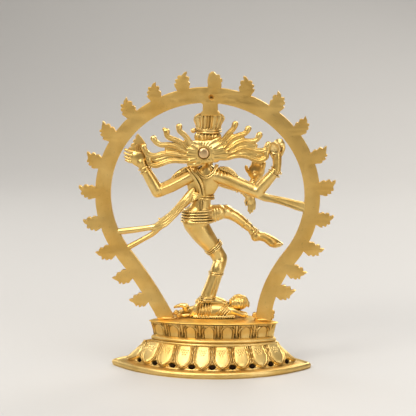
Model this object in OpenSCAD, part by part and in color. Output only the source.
// Cast brass temple dancer: a four-armed figure on a prone dwarf, inside a flame arch,
// on a pointed-oval lotus base. Millimetres. The front of the figure faces -Y, up is +Z,
// and the origin is on the floor under the middle of the whole outline.

/* [Base] */
// Length of the plinth from point to point
plinth_length = 136; // [130:1:140]
// Depth of the plinth at its middle
plinth_depth = 70; // [66:1:72]
// Height of the plinth slab
plinth_height = 4; // [3.5:0.5:5]
// Height of the top of the sloping lotus skirt
skirt_top = 18.2; // [17:0.1:19]
// Height of the top of the beaded waist moulding
waist_top = 23.7; // [23:0.1:24.5]
// Height of the underside of the platform slab
platform_bottom = 30.4; // [30:0.1:31]
// Height of the standing surface
platform_top = 33.4; // [33:0.1:34]
// Wall thickness of the hollow base castings
base_wall = 2.4; // [1.8:0.1:3]
// Downward petals along one long side of the skirt
lower_petal_count = 8; // [6:1:9]
// Upright petals along one long side of the upper band
upper_petal_count = 7; // [5:1:8]

/* [Flame arch] */
// Half the width of the ring's centre line
arch_half_width = 70; // [68:0.5:72]
// Half the height of the ring's centre line
arch_half_height = 67.2; // [66:0.2:68]
// Width of the flat ring, seen from the front
ring_width = 10.4; // [9:0.2:11]
// Thickness of the flat ring, front to back
ring_thickness = 4; // [3:0.5:5]
// Height of a flame tongue above the ring's outer edge
flame_height = 10.2; // [9:0.1:12]
// Thickness of a flame tongue, front to back
flame_thickness = 3.4; // [2.5:0.1:4]
// Distance between the two flames beside the top one on the figure's left, along the ring
left_flame_pitch = 17.7; // [17:0.1:18]
// Distance between the two flames beside the top one on the figure's right, along the ring
right_flame_pitch = 20.3; // [20:0.1:20.6]
// Flames on the figure's left side of the top flame
flames_left = 10; // [8:1:10]
// Flames on the figure's right side of the top flame
flames_right = 9; // [8:1:9]
// Width of the lug that ties the crown to the ring
lug_width = 9.8; // [8:0.2:11]

/* [Figure] */
// Thickness of a hair lock
lock_radius = 1.9; // [1.5:0.1:2.2]
// Radius of the standing thigh
thigh_radius = 8.5; // [8:0.1:9]
// Radius of the upper arms
upper_arm_radius = 4.6; // [4:0.1:5]
// Radius of the wrists
wrist_radius = 2.8; // [2.4:0.1:3.2]
// Thickness of the serpent and scarf struts
strut_radius = 2.2; // [1.8:0.1:2.6]
// Radius of the threaded stud under the figure
stud_radius = 3; // [2.5:0.5:3.5]

/* [Hidden] */

// Moves every piece so that the origin lies under the middle of the whole outline, because
// the arch stands a little to the figure's left of the base's own middle.
to_middle = [-2.6, 0, 0];

brass = "goldenrod";
dark_brass = "darkgoldenrod";
pale_brass = "khaki";
steel = "silver";

// ---- Base geometry -------------------------------------------------------------------
// Every level of the base is a pointed oval: the overlap of two equal discs whose centres
// lie lens_offset behind and in front of the middle. A level's half depth b fixes it.
half_length = plinth_length / 2;
half_depth = plinth_depth / 2;
lens_offset = (half_length * half_length - half_depth * half_depth) / (2 * half_depth);
skirt_bottom_b = 27.4;
skirt_top_b = 16.2;
waist_b = 15.6;
neck_b = 14.3;
flare_b = 16.8;
petal_thickness = 1.5;
petal_seat = 0.35;
slot_clearance = 0.15;
tenon_depth = platform_top - platform_bottom;
// The castings above the skirt stand a little to the figure's right of the plinth's middle.
upper_shift = to_middle + [-1.6, 0, 0];

function lens_half_length(b) = sqrt(b * b + 2 * b * lens_offset);

// A solid pointed oval whose side follows profile, a list of [half depth, height].
module lens(profile) {
    low = profile[0][1];
    high = profile[len(profile) - 1][1];
    outline = concat([[0, low]], [for (p = profile) [p[0] + lens_offset, p[1]]], [[0, high]]);
    intersection() {
        translate([0, -lens_offset, 0]) rotate_extrude($fn = 96) polygon(outline);
        translate([0, lens_offset, 0]) rotate_extrude($fn = 96) polygon(outline);
    }
}

// A pointed-oval tube: the outer profile less the same profile moved in by wall.
module lens_shell(profile, wall) {
    low = profile[0][1];
    high = profile[len(profile) - 1][1];
    inner = concat([[profile[0][0] - wall, low - 1]],
                   [for (p = profile) [p[0] - wall, p[1]]],
                   [[profile[len(profile) - 1][0] - wall, high + 1]]);
    difference() {
        lens(profile);
        lens(inner);
    }
}

// Puts a child, drawn at the origin with +Y outward, at a distance along the long side of
// the level with half depth b. side is 0 for the back and 180 for the front.
module on_side(b, distance, z, side) {
    turn = -distance / (lens_offset + b) * 180 / PI;
    rotate([0, 0, side]) translate([0, -lens_offset, 0]) rotate([0, 0, turn])
        translate([0, lens_offset + b, z]) children();
}

// A leaf outline with its point at the origin; blunt makes the far end rounder.
function leaf_outline(width, height, blunt) =
    let (steps = 8, half = [for (i = [1:steps - 1]) let (v = i / steps)
        [width / 2 * sin(180 * pow(v, blunt)), height * v]])
    concat([[0, 0]], half, [[0, height]],
           [for (i = [len(half) - 1:-1:0]) [-half[i][0], half[i][1]]]);

// A petal lying on a slope that rises at the given angle, its point at the origin.
module petal(width, height, slope, blunt) {
    rotate([180 - slope, 0, 0]) translate([0, 0, -petal_thickness])
        linear_extrude(petal_thickness + petal_seat) polygon(leaf_outline(width, height, blunt));
}

module plinth_rim() {
    color(brass) translate(to_middle) difference() {
        lens([[half_depth - 0.8, 0], [half_depth, 0.8], [half_depth, plinth_height - 1.4],
              [half_depth - 1.2, plinth_height - 0.3], [half_depth - 2.2, plinth_height],
              [skirt_bottom_b, plinth_height + 0.9]]);
        lens([[skirt_bottom_b - base_wall, -1], [skirt_bottom_b - base_wall, plinth_height + 2]]);
    }
}

module lotus_skirt() {
    color(brass) translate(to_middle) lens_shell([[skirt_bottom_b, plinth_height + 0.9],
                             [skirt_bottom_b - 0.6, plinth_height + 2.2],
                             [skirt_top_b, skirt_top]], base_wall);
}

module lower_petals() {
    pitch = 14.4;
    slope = atan2(skirt_top - 6, skirt_bottom_b - skirt_top_b);
    height = 14.5;
    end_slope = 38;
    color(brass) translate(to_middle) {
        for (side = [0, 180])
            for (k = [0:lower_petal_count - 1])
                on_side(skirt_bottom_b + 0.1, (k - (lower_petal_count - 1) / 2) * pitch,
                        plinth_height + 1.6, side)
                    petal(13.2, height, slope, 0.8);
        for (side = [-90, 90])
            rotate([0, 0, side])
                translate([0, lens_half_length(skirt_bottom_b) + 0.4, plinth_height + 1.2])
                    petal(12, 13, end_slope, 0.8);
    }
}

module waist_moulding() {
    bead = (waist_top - skirt_top) / 2;
    profile = [[skirt_top_b - 0.2, skirt_top], [skirt_top_b + 0.3, skirt_top + 0.9],
               [skirt_top_b + 0.1, skirt_top + bead - 0.4], [waist_b - 0.7, skirt_top + bead],
               [waist_b, skirt_top + bead + 0.5], [waist_b, waist_top - 1], [neck_b, waist_top]];
    color(pale_brass) translate(upper_shift) lens_shell(profile, base_wall);
}

module upper_lotus_band() {
    color(brass) translate(upper_shift) lens_shell([[neck_b, waist_top], [neck_b + 0.5, waist_top + 2.4],
                                                    [flare_b - 0.7, platform_bottom]], base_wall);
}

module upper_petals() {
    pitch = 12.2;
    height = 7;
    lean = 107;
    color(brass) translate(upper_shift) {
        for (side = [0, 180])
            for (k = [0:upper_petal_count - 1])
                on_side(neck_b - 0.2, (k - (upper_petal_count - 1) / 2) * pitch, waist_top, side)
                    petal(11.6, height, lean, 0.55);
        for (side = [-90, 90])
            rotate([0, 0, side])
                translate([0, lens_half_length(neck_b) - 1.2, waist_top]) petal(8, height, lean, 0.55);
    }
}

module platform() {
    color(pale_brass) translate(to_middle) difference() {
        translate(upper_shift - to_middle)
            lens([[flare_b - 0.6, platform_bottom], [flare_b + 0.3, platform_bottom + 0.8],
                  [flare_b + 0.3, platform_top - 1.4], [flare_b - 1.2, platform_top]]);
        translate([stud_x, stud_y, platform_bottom - 1]) cylinder(h = 6, r = stud_radius + 0.2, $fn = 48);
        for (x = tenon_x)
            translate([x - tenon_width / 2 - slot_clearance, -tenon_thickness / 2 - slot_clearance,
                       platform_bottom - 1])
                cube([tenon_width + 2 * slot_clearance, tenon_thickness + 2 * slot_clearance, 6]);
    }
}

// ---- Fixing under the platform ---------------------------------------------------------
stud_x = 2;
stud_y = -5;
washer_radius = 6;
washer_thickness = 1;
nut_radius = 5.4;
nut_height = 4.5;
washer_bottom = platform_bottom - washer_thickness;
nut_bottom = washer_bottom - nut_height;
stud_bottom = nut_bottom - 1.5;
stud_rise = 4.5;

module figure_stud() {
    color(steel) translate(to_middle) translate([stud_x, stud_y, stud_bottom])
        cylinder(h = platform_top + stud_rise - stud_bottom, r = stud_radius, $fn = 48);
}

module figure_washer() {
    color(steel) translate(to_middle) translate([stud_x, stud_y, washer_bottom]) difference() {
        cylinder(h = washer_thickness, r = washer_radius, $fn = 48);
        translate([0, 0, -1]) cylinder(h = washer_thickness + 2, r = stud_radius + 0.15, $fn = 48);
    }
}

module figure_nut() {
    color(steel) translate(to_middle) translate([stud_x, stud_y, nut_bottom]) difference() {
        cylinder(h = nut_height, r = nut_radius, $fn = 6);
        translate([0, 0, -1]) cylinder(h = nut_height + 2, r = stud_radius, $fn = 48);
    }
}

// ---- Flame arch -------------------------------------------------------------------------
arch_centre = [2.6, 117];
left_join_angle = -36.5;
right_join_angle = 218.7;
left_bend = [42.4, 55.7];
left_foot = [29.7, platform_top];
right_bend = [-36.8, 55.3];
right_foot = [-35.2, platform_top];
tenon_x = [left_foot[0], right_foot[0]];
tenon_width = 6;
tenon_thickness = 2.6;
leg_steps = 10;
ring_steps = 60;
ring_top_z = arch_centre[1] + arch_half_height;
lug_bottom = 170.5;
lug_x = 0.5;

function on_ring(angle) = arch_centre + [arch_half_width * cos(angle), arch_half_height * sin(angle)];
function curve(a, b, c, t) = (1 - t) * (1 - t) * a + 2 * t * (1 - t) * b + t * t * c;

// The ring's centre line, from below the left foot over the top to below the right foot.
foot_run = 7;
function run_out(foot, bend) = foot + foot_run * (foot - bend) / norm(foot - bend);
centre_line = concat(
    [run_out(left_foot, left_bend)],
    [for (i = [0:leg_steps - 1]) curve(left_foot, left_bend, on_ring(left_join_angle), i / leg_steps)],
    [for (i = [0:ring_steps])
        on_ring(left_join_angle + (right_join_angle - left_join_angle) * i / ring_steps)],
    [for (i = [1:leg_steps]) curve(on_ring(right_join_angle), right_bend, right_foot, i / leg_steps)],
    [run_out(right_foot, right_bend)]);
last_point = len(centre_line) - 1;

// Unit direction along the centre line, and the outward direction beside it.
function line_direction(i) =
    let (d = centre_line[min(i + 1, last_point)] - centre_line[max(i - 1, 0)]) d / norm(d);
function line_outward(i) = let (d = line_direction(i)) [d[1], -d[0]];
function beside_line(i, distance) = centre_line[i] + distance * line_outward(i);

// Distance along the centre line to each of its points.
line_length = [for (i = 0, s = 0; i <= last_point;
                    s = s + (i < last_point ? norm(centre_line[i + 1] - centre_line[i]) : 0), i = i + 1) s];
function line_at(distance, column) =
    lookup(distance, [for (i = [0:last_point]) [line_length[i], column[i]]]);
line_x = [for (p = centre_line) p[0]];
line_z = [for (p = centre_line) p[1]];
top_point = [for (i = [0:last_point]) if (line_z[i] == max(line_z)) i][0];
top_flame_length = line_length[top_point] + 5;

// Distance of a flame from the top one. The hand-cut pitch widens a little down the figure's
// left side and closes a little down its right side.
first_left_flame = 19.3;
first_right_flame = 19.5;
left_growth = 0.12;
right_growth = -0.15;
function flame_run(first, pitch, growth, k) = first + (k - 1) * pitch + (k - 1) * (k - 1) * growth;

// A flat band between two distances from the centre line, from y forward by thickness,
// and cut off level with the platform.
module ring_band(inner, outer, y, thickness) {
    outline = concat([for (i = [0:last_point]) beside_line(i, outer)],
                     [for (i = [last_point:-1:0]) beside_line(i, inner)]);
    difference() {
        translate([0, y, 0]) rotate([90, 0, 0]) linear_extrude(thickness) polygon(outline);
        translate([-half_length, -half_depth, 0]) cube([plinth_length, plinth_depth, platform_top]);
    }
}

// Puts a child, drawn in x and z with +z outward, at a distance along the centre line.
module on_line(distance, offset) {
    step = 0.5;
    x = line_at(distance, line_x);
    z = line_at(distance, line_z);
    dx = line_at(distance + step, line_x) - line_at(distance - step, line_x);
    dz = line_at(distance + step, line_z) - line_at(distance - step, line_z);
    translate([x, 0, z]) rotate([0, atan2(dz, -dx), 0]) translate([0, 0, offset])
        children();
}

module arch_ring() {
    color(dark_brass) translate(to_middle) {
        ring_band(-ring_width / 2, ring_width / 2, ring_thickness / 2, ring_thickness);
        translate([lug_x - lug_width / 2, -ring_thickness / 2, lug_bottom])
            cube([lug_width, ring_thickness, ring_top_z - lug_bottom]);
        for (x = tenon_x)
            translate([x - tenon_width / 2, -tenon_thickness / 2, platform_bottom])
                cube([tenon_width, tenon_thickness, tenon_depth + 1]);
    }
}

// A flame tongue with its root across the origin; side 1 leans towards +x. Its outline is
// [across in millimetres, part of the height].
flame_root = 0.3;
flame_outline = [[-4, 0], [-4, 0.42], [-2.4, 0.58], [-1.8, 0.75], [-0.4, 0.76], [3, 1], [3.8, 0.72],
                 [5.1, 0.59], [4.6, 0.49], [5.6, 0.39], [4.8, 0.24], [3.9, 0]];
module flame(side) {
    translate([0, flame_thickness / 2, 0]) rotate([90, 0, 0]) linear_extrude(flame_thickness)
        polygon([for (p = flame_outline) [side * p[0], p[1] * (flame_height + flame_root) - flame_root]]);
}

module top_flame() {
    translate([0, flame_thickness / 2, 0]) rotate([90, 0, 0]) linear_extrude(flame_thickness)
        polygon([[-4.6, -flame_root], [-4.8, 4.2], [-3.2, 5.4], [-2.6, 8], [-1, 8.2], [0.2, 10.4], [1.6, 8.4],
                 [3.2, 7.6], [3.4, 5.6], [4.8, 4], [4.4, -flame_root]]);
}

module arch_flames() {
    color(brass) translate(to_middle) {
        on_line(top_flame_length, ring_width / 2) top_flame();
        for (k = [1:flames_left])
            on_line(top_flame_length - flame_run(first_left_flame, left_flame_pitch, left_growth, k),
                    ring_width / 2) flame(-1);
        for (k = [1:flames_right])
            on_line(top_flame_length + flame_run(first_right_flame, right_flame_pitch, right_growth, k),
                    ring_width / 2) flame(1);
    }
}

module arch_front_rib() {
    color(brass) translate(to_middle) {
        ring_band(-ring_width / 2 + 0.6, -ring_width / 2 + 2.6, -ring_thickness / 2, 1.2);
        ring_band(ring_width / 2 - 2.6, ring_width / 2 - 0.6, -ring_thickness / 2, 1.2);
    }
}

module arch_foot_scrolls() {
    radius = 2.6;
    color(brass) translate(to_middle) for (p = [[23.2, 37.6], [20.6, 35.9], [-28.6, 38.2], [-42.4, 38.4]])
        translate([p[0], ring_thickness / 2, p[1]]) rotate([90, 0, 0])
            cylinder(h = ring_thickness, r = radius, $fn = 32);
}

// ---- Figure helpers ---------------------------------------------------------------------
ball_sides = 14;
finger_sides = 8;

// A limb: round joints of the given radii joined by tapering lengths.
module limb(points, radii, sides = ball_sides) {
    for (i = [0:len(points) - 2])
        hull() {
            translate(points[i]) sphere(radii[i], $fn = sides);
            translate(points[i + 1]) sphere(radii[i + 1], $fn = sides);
        }
}

// An ellipsoid of half sizes size.
module egg(centre, size, sides = 16) {
    translate(centre) scale(size) sphere(1, $fn = sides);
}

// A short round band across the line from a to b, at a fraction of the way along it.
module band(a, b, fraction, inner, outer, width) {
    d = b - a;
    translate(a + d * fraction)
        rotate([0, acos(d[2] / norm(d)), atan2(d[1], d[0])])
            translate([0, 0, -width / 2]) difference() {
                cylinder(h = width, r = outer, $fn = 24);
                translate([0, 0, -1]) cylinder(h = width + 2, r = inner, $fn = 24);
            }
}

// A smooth curve through hand-placed points, with steps pieces between each two.
function blend_point(a, b, c, d, t) =
    0.5 * ((2 * b) + (c - a) * t + (2 * a - 5 * b + 4 * c - d) * t * t
           + (3 * b - a - 3 * c + d) * t * t * t);
function smooth(p, steps) = let (n = len(p) - 1) concat(
    [for (i = [0:n - 1]) for (k = [0:steps - 1])
        blend_point(p[max(i - 1, 0)], p[i], p[i + 1], p[min(i + 2, n)], k / steps)],
    [p[n]]);

// A tube along a path; radii is one [across, in depth] pair per path point.
function path_direction(p, i) =
    let (d = p[min(i + 1, len(p) - 1)] - p[max(i - 1, 0)]) d / norm(d);
function tube_ring(p, i, size, sides) =
    let (t = path_direction(p, i), across = cross(t, [0, 1, 0]), s = across / norm(across), q = cross(s, t))
    [for (k = [0:sides - 1]) p[i] + size[0] * cos(360 * k / sides) * s + size[1] * sin(360 * k / sides) * q];
module tube(path, sizes, sides = 8) {
    n = len(path);
    points = [for (i = [0:n - 1]) each tube_ring(path, i, sizes[i], sides)];
    walls = [for (i = [0:n - 2]) for (k = [0:sides - 1])
        let (a = i * sides + k, b = i * sides + (k + 1) % sides)
            each [[a, b, a + sides], [b, b + sides, a + sides]]];
    start = [for (k = [sides - 1:-1:0]) k];
    end = [for (k = [0:sides - 1]) (n - 1) * sides + k];
    polyhedron(points, concat([start], walls, [end]));
}
// The same tube with one radius, thinner at its two ends.
module cord(points, radius, steps = 2, sides = 8) {
    path = smooth(points, steps);
    n = len(path) - 1;
    tube(path, [for (i = [0:n]) let (f = (i == n || i == 0) ? 0.6 : 1) [radius * f, radius * f]], sides);
}

// ---- Figure: places of its joints, [x, y, z] ------------------------------------------
hip_standing = [9, -6.5, 98];
thigh_standing = [2, -9, 86];
knee_standing = [-5.8, -11.5, 76];
calf_standing = [-3.4, -7.8, 64];
ankle_standing = [2, -6, 47.5];
hip_raised = [0, -9, 103];
knee_raised = [-12, -15, 104.6];
shin_raised = [-20.5, -16.6, 98.4];
ankle_raised = [-27, -17, 92];
shoulder_rear_left = [14.5, -4.5, 130.5];
elbow_rear_left = [36.2, -1, 118.8];
wrist_rear_left = [44, 0.5, 135];
palm_rear_left = [51, 0.5, 142.6];
shoulder_rear_right = [-6.5, -4.5, 131];
elbow_rear_right = [-32.4, -1, 121];
wrist_rear_right = [-43.4, 0.5, 134.4];
palm_rear_right = [-43.4, 0.5, 143.5];
shoulder_front_right = [-6, -10, 129.5];
elbow_front_right = [-26.5, -12, 119];
wrist_front_right = [-28.6, -15, 125.5];
palm_front_right = [-28.6, -15.5, 132];
shoulder_front_left = [14, -10, 129.5];
elbow_front_left = [-1, -19.5, 123.6];
wrist_front_left = [-21.5, -16.5, 117.6];
palm_front_left = [-26, -15, 112];
dwarf_face = [-18.8, -5, 43];
elbow_radius = 3.9;
sole_z = 41.8;

// ---- Dwarf under the figure -------------------------------------------------------------
module dwarf_body() {
    color(brass) translate(to_middle) dwarf_body_solid();
}
module dwarf_body_solid() {
    difference() {
        union() {
            hull() {
                egg([8, -6, 38], [6.5, 6.6, 4.6], ball_sides);
                egg([-7, -6, 38.4], [5.6, 6, 5], ball_sides);
            }
            hull() {
                egg([-7, -6, 38.4], [4.6, 5, 4.6], ball_sides);
                egg([-14, -5, 41], [3.2, 4, 3], ball_sides);
            }
        }
        translate([-30, -20, platform_top - 10]) cube([60, 30, 10]);
        translate([stud_x, stud_y, platform_top - 1])
            cylinder(h = stud_rise + 1, r = stud_radius, $fn = 48);
    }
}

module dwarf_head_solid() {
    translate(dwarf_face) rotate([0, -12, 0]) union() {
        egg([0, 0, 0], [6, 4.8, 5.1], 24);
        egg([0, -3.4, 0.4], [2, 2.4, 1.4], 12);
    }
}
module dwarf_head() {
    color(brass) translate(to_middle) difference() {
        dwarf_head_solid();
        dwarf_body_solid();
    }
}

module dwarf_legs_solid() {
    intersection() {
        union() {
            limb([[12, -7.5, 38.5], [20.5, -5.5, 42.4], [23.4, -4, 36]], [4, 3.2, 2.5]);
            egg([22.4, -3, 35.2], [3.4, 2.2, 2.2], ball_sides);
        }
        translate([0, -20, platform_top]) cube([60, 30, 20]);
    }
}
module dwarf_legs() {
    color(brass) translate(to_middle) difference() {
        dwarf_legs_solid();
        dwarf_body_solid();
    }
}

module dwarf_arm_solid() {
    intersection() {
        limb([[-10, -10, 40], [-16.5, -8, 37], [-24, -4.5, 35.4]], [2.6, 2.1, 1.7]);
        translate([-60, -30, platform_top]) cube([60, 60, 20]);
    }
}
module dwarf_arm() {
    color(brass) translate(to_middle) difference() {
        dwarf_arm_solid();
        dwarf_body_solid();
    }
}

// ---- Legs -------------------------------------------------------------------------------
module standing_leg() {
    color(brass) translate(to_middle) difference() {
        standing_leg_solid();
        hips_solid();
    }
}
module standing_leg_solid() {
    limb([hip_standing, thigh_standing, knee_standing, calf_standing, ankle_standing],
         [thigh_radius, 6.9, 5.1, 4.7, 4]);
}

module standing_foot_solid() {
    difference() {
        union() {
            hull() {
                egg([4.4, -6, 45.4], [3.6, 3, 3.6], ball_sides);
                egg([-5.4, -6.8, 43.8], [4, 3.8, 1.7], ball_sides);
            }
            for (k = [0:4])
                egg([-8.4 - 0.5 * sin(k * 36), -9.2 + 1.4 * k, sole_z + 1.4], [1.5, 0.8, 1], 10);
        }
        translate([-20, -20, sole_z - 10]) cube([40, 40, 10]);
    }
}
module standing_foot() {
    color(brass) translate(to_middle) difference() {
        standing_foot_solid();
        standing_leg_solid();
        dwarf_body_solid();
    }
}

module raised_leg() {
    color(brass) translate(to_middle) difference() {
        raised_leg_solid();
        hips_solid();
    }
}
module raised_leg_solid() {
    limb([hip_raised, knee_raised, shin_raised, ankle_raised], [7, 5.4, 4.6, 3]);
}

module raised_foot_solid() {
    hull() {
        egg([-28, -17, 89.4], [3.2, 2.8, 3.2], ball_sides);
        egg([-40.5, -18.4, 84.6], [4.4, 3.6, 1.9], ball_sides);
    }
    for (k = [0:4])
        egg([-44.8, -20.8 + 1.35 * k, 82.6], [1.9, 0.8, 1.2], 10);
}
module raised_foot() {
    color(brass) translate(to_middle) difference() {
        raised_foot_solid();
        raised_leg_solid();
    }
}

// ---- Trunk ------------------------------------------------------------------------------
module hips_solid() {
    union() {
        hull() {
            egg([9.2, -7, 104], [10.2, 7.4, 5.4]);
            egg([9, -6.6, 97], [9.2, 7.8, 5]);
        }
        hull() {
            egg([1.5, -8.5, 103.6], [5.5, 6.4, 6]);
            egg([-4.5, -11, 104], [4, 5.8, 5.4]);
        }
    }
}
module hips() {
    color(brass) translate(to_middle) difference() {
        hips_solid();
        torso_solid();
    }
}

module torso_solid() {
    union() {
        hull() {
            egg([4.2, -7, 128.5], [11, 5.6, 5]);
            egg([4.6, -7.2, 121], [9.2, 5.8, 5]);
        }
        hull() {
            egg([4.6, -7.2, 121], [9, 5.6, 5]);
            egg([7, -7, 110], [7.2, 5.4, 5]);
        }
        limb([[3.6, -7, 131], [3, -7.6, 143]], [4.6, 3.8]);
    }
}
module torso() {
    color(brass) translate(to_middle) difference() {
        torso_solid();
        rear_left_arm_solid();
        rear_right_arm_solid();
        front_left_arm_solid();
        front_right_arm_solid();
    }
}

module head_solid() {
    union() {
        egg([2.6, -8, 153.5], [7.5, 7.8, 8.6], 28);
        egg([2.6, -9.6, 147.6], [5.4, 5.6, 5], 24);
        hull() {
            egg([2.6, -15.6, 153], [0.7, 0.8, 2], 12);
            egg([2.6, -16.3, 150.4], [1.3, 1.1, 0.9], 12);
        }
    }
}
module head() {
    color(brass) translate(to_middle) difference() {
        head_solid();
        torso_solid();
    }
}

module ear_ornaments() {
    color(pale_brass) translate(to_middle) {
        egg([11.4, -6.6, 148.6], [1.6, 2.6, 2.6], ball_sides);
        egg([-6.4, -6.6, 148.6], [1.6, 2.6, 2.6], ball_sides);
        egg([12.6, -5, 159.9], [2, 2, 2], ball_sides);
    }
}

module headband() {
    color(pale_brass) translate(to_middle) difference() {
        translate([2.2, -7.4, 158]) scale([1, 0.95, 1]) cylinder(h = 3, r = 8.8, $fn = 32);
        translate([2.2, -7.4, 157]) scale([1, 0.95, 1]) cylinder(h = 5, r = 6.6, $fn = 32);
    }
}

module crown_solid() {
    union() {
        translate([2.2, -7.2, 159]) rotate_extrude($fn = 48)
            polygon([[0, 0], [6.1, 0], [6.1, 2], [7.6, 2], [7.8, 3], [6, 3.6], [6.4, 5.6], [4.8, 6.4],
                     [5, 8.6], [3.4, 9.4], [3.4, 11], [1.6, 12.4], [0, 13]]);
        translate([-3, -6, 168]) cube([7, 4, 4]);
    }
}
module crown() {
    color(brass) translate(to_middle) difference() {
        crown_solid();
        head_solid();
    }
}

module crown_feathers() {
    count = 7;
    color(pale_brass) translate(to_middle) for (k = [0:count - 1]) {
        turn = (k - (count - 1) / 2) * 19;
        translate([1.6, -1.2, 160.6]) rotate([90, turn, 0]) translate([0, 0, -0.7])
            linear_extrude(1.4) polygon(leaf_outline(3.6, 9.7 - abs(turn) / 40, 1.3));
    }
}

// ---- Hair ---------------------------------------------------------------------------------
rivet_x = 4.5;
rivet_z = 146;
rivet_radius = 1.6;
rivet_head_radius = 3;

module hair_fan_plate_solid() {
    difference() {
        union() {
            hull() {
                egg([3, 3.2, 147.2], [8.6, 3, 6.6]);
                egg([-1.4, 2.6, 147.4], [9, 2.6, 5.6]);
            }
            hull() {
                egg([2.8, 0.4, 147], [5.5, 3, 5], ball_sides);
                egg([2.8, -3, 147], [5, 2, 5], ball_sides);
            }
        }
        translate([rivet_x, 8, rivet_z]) rotate([90, 0, 0]) cylinder(h = 6, r = rivet_radius, $fn = 32);
    }
}
module hair_fan_plate() {
    color(brass) translate(to_middle) difference() {
        hair_fan_plate_solid();
        head_solid();
        torso_solid();
    }
}

module hair_rivet() {
    color(brass) translate(to_middle) translate([rivet_x, 2, rivet_z]) rotate([-90, 0, 0]) {
        cylinder(h = 4, r = rivet_radius, $fn = 32);
        translate([0, 0, 3.9]) cylinder(h = 1.6, r = rivet_head_radius, $fn = 32);
    }
}

// Each lock is a list of [x, z] points from its free end to the plate.
left_locks = [
    [[21, 163.3], [20.4, 160.2], [15.2, 155.2], [10, 149]],
    [[29.3, 160], [28.6, 156.6], [22.4, 154], [15.6, 149], [10, 147.6]],
    [[38, 155.3], [35.2, 151.8], [27.8, 151], [19.7, 148.4], [10, 146]],
    [[44.8, 149.5], [42.2, 145.2], [36, 144.1], [26.1, 145.7], [10, 144]],
    [[41.5, 141.4], [39.2, 137.6], [33, 138.4], [23.8, 140.8], [10, 141.4]]];
right_locks = [
    [[-16.2, 165.2], [-14.6, 161.6], [-9.2, 155.7], [-3, 149.6]],
    [[-24.8, 162.2], [-22.6, 159], [-15.2, 156.4], [-9.2, 149.9], [-3, 147.5]],
    [[-32.2, 158.2], [-29.8, 154.8], [-22, 154], [-13.9, 150], [-3, 146.5]],
    [[-38.2, 151.9], [-35, 148], [-26.7, 148.7], [-18, 148.3], [-3, 144.8]],
    [[-36.8, 146.4], [-34.6, 141.8], [-28.8, 142], [-20, 144.9], [-3, 142.2]]];
lock_y = 3.4;

module hair_lock(points) {
    cord([for (p = points) [p[0], lock_y, p[1]]], lock_radius, 2, 8);
}
module hair_locks_left_solid() {
    for (lock = left_locks) hair_lock(lock);
}
module hair_locks_left() {
    color(brass) translate(to_middle) difference() {
        hair_locks_left_solid();
        hair_fan_plate_solid();
    }
}
module hair_locks_right_solid() {
    for (lock = right_locks) hair_lock(lock);
}
module hair_locks_right() {
    color(brass) translate(to_middle) difference() {
        hair_locks_right_solid();
        hair_fan_plate_solid();
    }
}

// ---- Rear arms -----------------------------------------------------------------------------
module rear_left_arm() {
    color(brass) translate(to_middle) rear_left_arm_solid();
}
module rear_left_arm_solid() {
    limb([shoulder_rear_left, elbow_rear_left, wrist_rear_left],
         [upper_arm_radius, elbow_radius, wrist_radius]);
}

module rear_left_hand_solid() {
    limb([wrist_rear_left, [47, 0.5, 139.4], palm_rear_left], [2.6, 3.2, 2.6]);
    for (k = [0:3])
        limb([[50.5, 0.5, 143.5 - 1.6 * k], [55.4 + 0.5 * k, 0.5 - 0.4 * k, 143 - 1.2 * k]],
             [1, 0.8], finger_sides);
}
module rear_left_hand() {
    color(brass) translate(to_middle) difference() {
        rear_left_hand_solid();
        rear_left_arm_solid();
    }
}

module hand_flame_solid() {
    difference() {
        union() {
            egg([50.4, 0.5, 147.2], [3.6, 2.4, 3.4], ball_sides);
            hull() {
                egg([50.2, 0.5, 149.4], [2.6, 1.8, 2.4], ball_sides);
                egg([48.8, 0.5, 156.6], [0.5, 0.5, 0.6], 8);
            }
        }
        translate([40, -5, 140]) cube([20, 10, 4]);
    }
}
module hand_flame() {
    color(pale_brass) translate(to_middle) difference() {
        hand_flame_solid();
        rear_left_hand_solid();
    }
}

module rear_right_arm() {
    color(brass) translate(to_middle) rear_right_arm_solid();
}
module rear_right_arm_solid() {
    limb([shoulder_rear_right, elbow_rear_right, wrist_rear_right],
         [upper_arm_radius, elbow_radius, wrist_radius]);
}

module rear_right_hand_solid() {
    limb([wrist_rear_right, palm_rear_right], [2.6, 3.2]);
    for (k = [0:2])
        limb([[-45.4 + 1.8 * k, -1.4, 144.4], [-45.8 + 1.8 * k, -2.6, 148.6]], [1.1, 0.9], finger_sides);
    limb([[-41, 1, 142], [-39.8, 0.4, 147.6]], [1.2, 0.9], finger_sides);
}
module rear_right_hand() {
    color(brass) translate(to_middle) difference() {
        rear_right_hand_solid();
        rear_right_arm_solid();
    }
}

module hand_drum_solid() {
    translate([-43.6, 1, 150.4]) rotate([0, 70, 0]) rotate_extrude($fn = 32)
        polygon([[0, -4.6], [3.6, -4.6], [3.6, -3.6], [1.8, 0], [3.6, 3.6], [3.6, 4.6], [0, 4.6]]);
}
module hand_drum() {
    color(pale_brass) translate(to_middle) difference() {
        hand_drum_solid();
        rear_right_hand_solid();
    }
}

// ---- Front arms ------------------------------------------------------------------------------
module front_right_arm() {
    color(brass) translate(to_middle) front_right_arm_solid();
}
module front_right_arm_solid() {
    limb([shoulder_front_right, elbow_front_right, wrist_front_right],
         [upper_arm_radius, elbow_radius, wrist_radius]);
}

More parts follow.
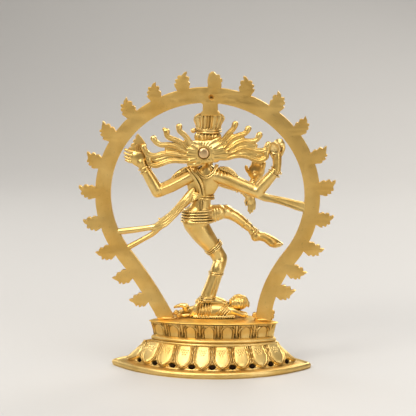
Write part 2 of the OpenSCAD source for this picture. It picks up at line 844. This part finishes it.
module front_right_hand_solid() {
    hull() {
        egg(palm_front_right, [4, 1.8, 4], ball_sides);
        egg(wrist_front_right, [2.6, 2.2, 2.4], ball_sides);
    }
    for (k = [0:3])
        limb([[-32.2 + 2.3 * k, -15.5, 134], [-32.8 + 2.5 * k, -15.5, 138.8 - abs(k - 1.4) * 0.7]],
             [1.2, 1], finger_sides);
    limb([[-25.4, -15.5, 129.6], [-22, -15, 133]], [1.4, 1.1], finger_sides);
}
module front_right_hand() {
    color(brass) translate(to_middle) difference() {
        front_right_hand_solid();
        front_right_arm_solid();
    }
}

module front_left_arm() {
    color(brass) translate(to_middle) front_left_arm_solid();
}
module front_left_arm_solid() {
    limb([shoulder_front_left, elbow_front_left, wrist_front_left],
         [upper_arm_radius, elbow_radius, wrist_radius]);
}

module front_left_hand_solid() {
    hull() {
        egg(wrist_front_left, [2.6, 2.4, 2.4], ball_sides);
        egg(palm_front_left, [3.4, 2, 3.4], ball_sides);
    }
    for (k = [0:3])
        limb([[-24.6 - 1.5 * k, -14.8, 110.6], [-24.8 - 1.6 * k, -14, 104 + 1.2 * k]],
             [1.1, 0.8], finger_sides);
    limb([[-23.6, -15.6, 112], [-22.6, -15.4, 107]], [1.2, 0.9], finger_sides);
}
module front_left_hand() {
    color(brass) translate(to_middle) difference() {
        front_left_hand_solid();
        front_left_arm_solid();
    }
}

// ---- Struts, cloth and jewellery ---------------------------------------------------------------
module serpent_strut() {
    path = smooth([[-32.4, 0.4, 118.4], [-38, 0.4, 115.6], [-46, 0.4, 113.6], [-54, 0.4, 110.8],
                   [-59, 0.2, 110.4], [-61.8, 0, 110.4]], 2);
    n = len(path) - 1;
    color(brass) translate(to_middle) tube(path, [for (i = [0:n]) let (f = i / n)
        [strut_radius * (f > 0.72 ? 1.45 : 1), strut_radius * 0.8]], 10);
}

module sash_tail() {
    trunk = smooth([[12.6, -1.2, 117], [18, 0, 112.4], [22.3, 0.6, 107.5], [28, 0.8, 102.4],
                    [34.6, 0.6, 95.4]], 2);
    upper = smooth([[32, 0.6, 98], [40, 0.6, 94.4], [51, 0.4, 93.6], [60, 0, 92.4], [62.4, 0, 92]], 2);
    lower = smooth([[34, 0.6, 96.4], [38.4, 0.6, 91.6], [47, 0.4, 86.6], [54, 0, 82.6], [56.8, 0, 80.8]], 2);
    color(brass) translate(to_middle) {
        tube(trunk, [for (i = [0:len(trunk) - 1]) [2.9 + 0.12 * i, 1.7]], 10);
        tube(upper, [for (p = upper) [1.9, 1.5]], 8);
        tube(lower, [for (i = [0:len(lower) - 1]) [1.4 + 0.08 * i, 1.4]], 8);
    }
}

module waist_sash() {
    color(pale_brass) translate(to_middle) difference() {
        translate([6.2, -7, 114.6]) rotate([0, -6, 0]) scale([1, 0.86, 1]) cylinder(h = 3.4, r = 8, $fn = 32);
        translate([6.2, -7, 110]) scale([1, 0.8, 1]) cylinder(h = 12, r = 6, $fn = 32);
    }
}

module sacred_thread() {
    color(pale_brass) translate(to_middle) {
        cord([[15.2, -4, 134], [12.2, -1.6, 130], [7.8, -0.9, 125.6], [4.8, -0.9, 120],
              [4.2, -1.4, 116.4]], 0.9, 2, 6);
        cord([[15.2, -9, 134.4], [10, -13.2, 130], [3, -13.6, 124], [-1.6, -12.6, 117.6]], 0.9, 2, 6);
    }
}

module necklace() {
    color(pale_brass) translate(to_middle) {
        cord([[9.6, -4.4, 137], [8, -2.2, 132.4], [3.5, -1.2, 130.2], [-1.6, -2.2, 132.6],
              [-3, -4.4, 137]], 0.9, 2, 6);
        cord([[9.6, -10, 136], [8.4, -13, 130.6], [3.6, -13.8, 127], [-1.4, -13, 130.6],
              [-3, -10, 136]], 1, 2, 6);
        egg([3.6, -14, 126], [1.7, 0.9, 1.9], 12);
        egg([3.5, -1, 129.4], [1.2, 0.9, 1.3], 12);
    }
}

module waist_belts() {
    count = 3;
    color(pale_brass) translate(to_middle) for (k = [0:count - 1])
        difference() {
            translate([9 - 0.3 * k, -7, 106.6 - 3.1 * k]) scale([1, 0.78, 1])
                cylinder(h = 1.6, r = 9.9 + 0.5 * k, $fn = 32);
            translate([9 - 0.3 * k, -7, 100 - 3.1 * k]) scale([1, 0.74, 1])
                cylinder(h = 20, r = 7.6 + 0.4 * k, $fn = 32);
        }
}

module bracelets() {
    color(pale_brass) translate(to_middle) {
        for (f = [0.78, 0.92]) {
            band(elbow_rear_left, wrist_rear_left, f, 2.8, 3.8, 1.4);
            band(elbow_rear_right, wrist_rear_right, f, 2.8, 3.8, 1.4);
            band(elbow_front_left, wrist_front_left, f, 2.8, 3.7, 1.4);
        }
        band(elbow_front_right, wrist_front_right, 0.8, 3, 4, 1.6);
        band(shoulder_rear_left, elbow_rear_left, 0.42, 4.2, 5.1, 1.8);
        band(shoulder_rear_right, elbow_rear_right, 0.42, 4.2, 5.1, 1.8);
    }
}

module anklets() {
    color(pale_brass) translate(to_middle) {
        band(calf_standing, ankle_standing, 0.92, 3.9, 5, 1.6);
        band(shin_raised, ankle_raised, 0.86, 3.1, 4.1, 1.6);
    }
}

module leg_bands() {
    color(pale_brass) translate(to_middle) {
        band(thigh_standing, knee_standing, 0.4, 6.1, 7, 1.8);
        band(knee_standing, calf_standing, 0.94, 4.6, 5.5, 1.6);
        band(knee_raised, shin_raised, 0.5, 4.9, 5.9, 1.6);
    }
}

module shoulder_tassels() {
    color(brass) translate(to_middle) {
        limb([[15.6, -4, 134.6], [20, -3, 134.4], [25.6, -2, 130.4]], [1.6, 2.8, 2]);
        limb([[-8, -4, 135], [-12, -3, 135.4], [-17, -2, 131.4]], [1.6, 2.6, 1.9]);
    }
}

plinth_rim();
lotus_skirt();
lower_petals();
waist_moulding();
upper_lotus_band();
upper_petals();
platform();
figure_stud();
figure_washer();
figure_nut();
arch_ring();
arch_flames();
arch_front_rib();
arch_foot_scrolls();
dwarf_body();
dwarf_head();
dwarf_legs();
dwarf_arm();
standing_leg();
standing_foot();
raised_leg();
raised_foot();
hips();
torso();
head();
ear_ornaments();
headband();
crown();
crown_feathers();
hair_fan_plate();
hair_locks_left();
hair_locks_right();
hair_rivet();
rear_left_arm();
rear_left_hand();
hand_flame();
rear_right_arm();
rear_right_hand();
hand_drum();
front_right_arm();
front_right_hand();
front_left_arm();
front_left_hand();
serpent_strut();
sash_tail();
waist_sash();
sacred_thread();
necklace();
waist_belts();
bracelets();
anklets();
leg_bands();
shoulder_tassels();
